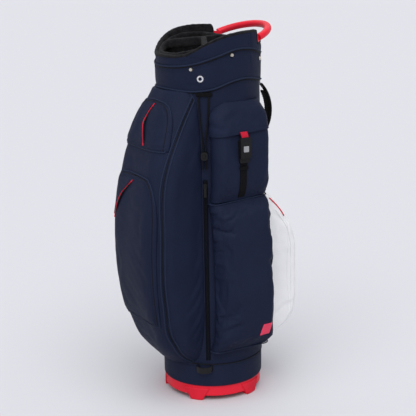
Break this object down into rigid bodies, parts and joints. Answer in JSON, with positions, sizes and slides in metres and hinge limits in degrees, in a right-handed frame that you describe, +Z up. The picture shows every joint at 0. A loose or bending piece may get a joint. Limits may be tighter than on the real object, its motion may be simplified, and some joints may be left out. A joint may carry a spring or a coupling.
{
  "type": "golf staff bag",
  "caption": "Upright golf staff bag with a moulded footed base, padded pockets, a buckled flap pocket, a rising cuff with club dividers, and a looped lift handle.",
  "frame": {"origin": "on the floor, on the barrel's axis at the middle of the base", "axes": "+Z up along the barrel's axis; +Y towards the spine with the lift and carry handles; +X towards the side with the flap pocket"},
  "size_m": [0.3108, 0.4229, 0.8684],
  "materials": {
    "navy_fabric": "fine plain-weave nylon, matt with a low sheen",
    "navy_piping": "corded seam piping, satin",
    "white_fabric": "coated weave, matt",
    "red_trim": "corded red edging",
    "red_moulding": "moulded, semi-gloss",
    "red_feet": "moulded elastomer with a small diamond tread",
    "red_badge": "thin welded patch",
    "black_fleece": "short-pile fleece",
    "black_webbing": "woven strap",
    "black_cord": "braided elastic cord",
    "black_plastic": "moulded acetal, satin",
    "lining": "thin woven lining",
    "shell_plastic": "extruded sheet",
    "base_foam": "closed-cell foam",
    "steel": "plated steel",
    "buckle_grey": "moulded, satin",
    "button_metal": "brushed"
  },
  "bodies": {
    "root": {"base_tray": "red_moulding", "base_feet": "red_feet", "base_screws": "steel", "base_pad": "base_foam", "bottom_band": "navy_fabric", "shell_rivets": "steel", "barrel_shell": "shell_plastic", "barrel_skin": "navy_fabric", "barrel_lining": "lining", "cuff_frame": "shell_plastic", "cuff_band": "navy_fabric", "cuff_collar": "navy_fabric", "collar_lining": "black_fleece", "rim_binding": "black_fleece", "cuff_piping": "navy_piping", "divider_ring": "black_fleece", "divider_bars": "black_fleece", "divider_sheets": "lining", "lift_handle": "red_moulding", "handle_screws": "steel", "snap_studs": "steel", "cuff_eyelet": "steel", "towel_loop": "black_cord", "front_panel": "navy_fabric", "front_gussets": "navy_fabric", "gusset_piping": "navy_piping", "front_upper_pocket": "navy_fabric", "front_lower_pocket": "navy_fabric", "front_trim": "red_trim", "right_upper_pocket": "navy_fabric", "buckle_base": "black_plastic", "buckle_strap": "black_webbing", "strap_keeper": "black_webbing", "right_lower_pocket": "navy_fabric", "emblem_patch": "red_badge", "left_garment_pocket": "navy_fabric", "back_pocket": "white_fabric", "back_pocket_trim": "red_trim", "umbrella_tab": "black_webbing", "umbrella_cord_front": "black_cord", "umbrella_cord_rear": "black_cord", "umbrella_tip_ring": "black_plastic", "zip_tapes": "black_webbing", "carry_handle_tabs": "black_webbing", "strap_ring_tab": "black_webbing"},
    "flap": {"right_flap": "navy_fabric", "flap_tab": "red_trim", "buckle_cover": "buckle_grey"},
    "release_button": {"buckle_button": "button_metal"},
    "carry_handle": {"carry_handle_rings": "steel", "carry_handle_pad": "black_webbing", "carry_handle_webbing": "black_webbing"},
    "strap_ring": {"strap_ring": "steel"},
    "cord_lock": {"cord_lock_body": "black_plastic"},
    "lock_plunger": {"cord_lock_plunger": "black_plastic"},
    "right_slider": {"right_zip_slider": "black_plastic"},
    "right_pull": {"right_zip_pull": "black_plastic"},
    "left_slider": {"left_zip_slider": "black_plastic"},
    "left_pull": {"left_zip_pull": "black_plastic"}
  },
  "joints": [
    {"name": "flap_hinge", "type": "hinge", "parent": "root", "child": "flap", "pos_m": [0.12, 0.002, 0.707], "axis": [0, -1, 0], "range_deg": [0, 110]},
    {"name": "release_button_press", "type": "slide", "parent": "flap", "child": "release_button", "axis": [-1, 0, 0], "range_m": [0, 0.0015], "stiffness_N_per_m": 400},
    {"name": "carry_handle_swing", "type": "hinge", "parent": "root", "child": "carry_handle", "pos_m": [0, 0.123, 0.658], "axis": [0, 0, 1], "range_deg": [-60, 60]},
    {"name": "strap_ring_swing", "type": "hinge", "parent": "root", "child": "strap_ring", "pos_m": [0, 0.125, 0.782], "axis": [1, 0, 0], "range_deg": [0, 110]},
    {"name": "cord_lock_slide", "type": "slide", "parent": "root", "child": "cord_lock", "axis": [0, 0, 1], "range_m": [-0.008, 0.006]},
    {"name": "lock_plunger_press", "type": "slide", "parent": "cord_lock", "child": "lock_plunger", "axis": [-0.8141, 0.5807, 0], "range_m": [0, 0.0022], "stiffness_N_per_m": 400},
    {"name": "right_zip_slide", "type": "slide", "parent": "root", "child": "right_slider", "axis": [0, 0, 1], "range_m": [-0.405, 0]},
    {"name": "right_pull_swing", "type": "hinge", "parent": "right_slider", "child": "right_pull", "pos_m": [0.10079, -0.07189, 0.518], "axis": [-0.5807, -0.8141, 0], "range_deg": [0, 100]},
    {"name": "left_zip_slide", "type": "slide", "parent": "root", "child": "left_slider", "axis": [0, 0, 1], "range_m": [-0.405, 0]},
    {"name": "left_pull_swing", "type": "hinge", "parent": "left_slider", "child": "left_pull", "pos_m": [-0.10079, -0.07189, 0.518], "axis": [-0.5807, 0.8141, 0], "range_deg": [0, 100]}
  ]
}
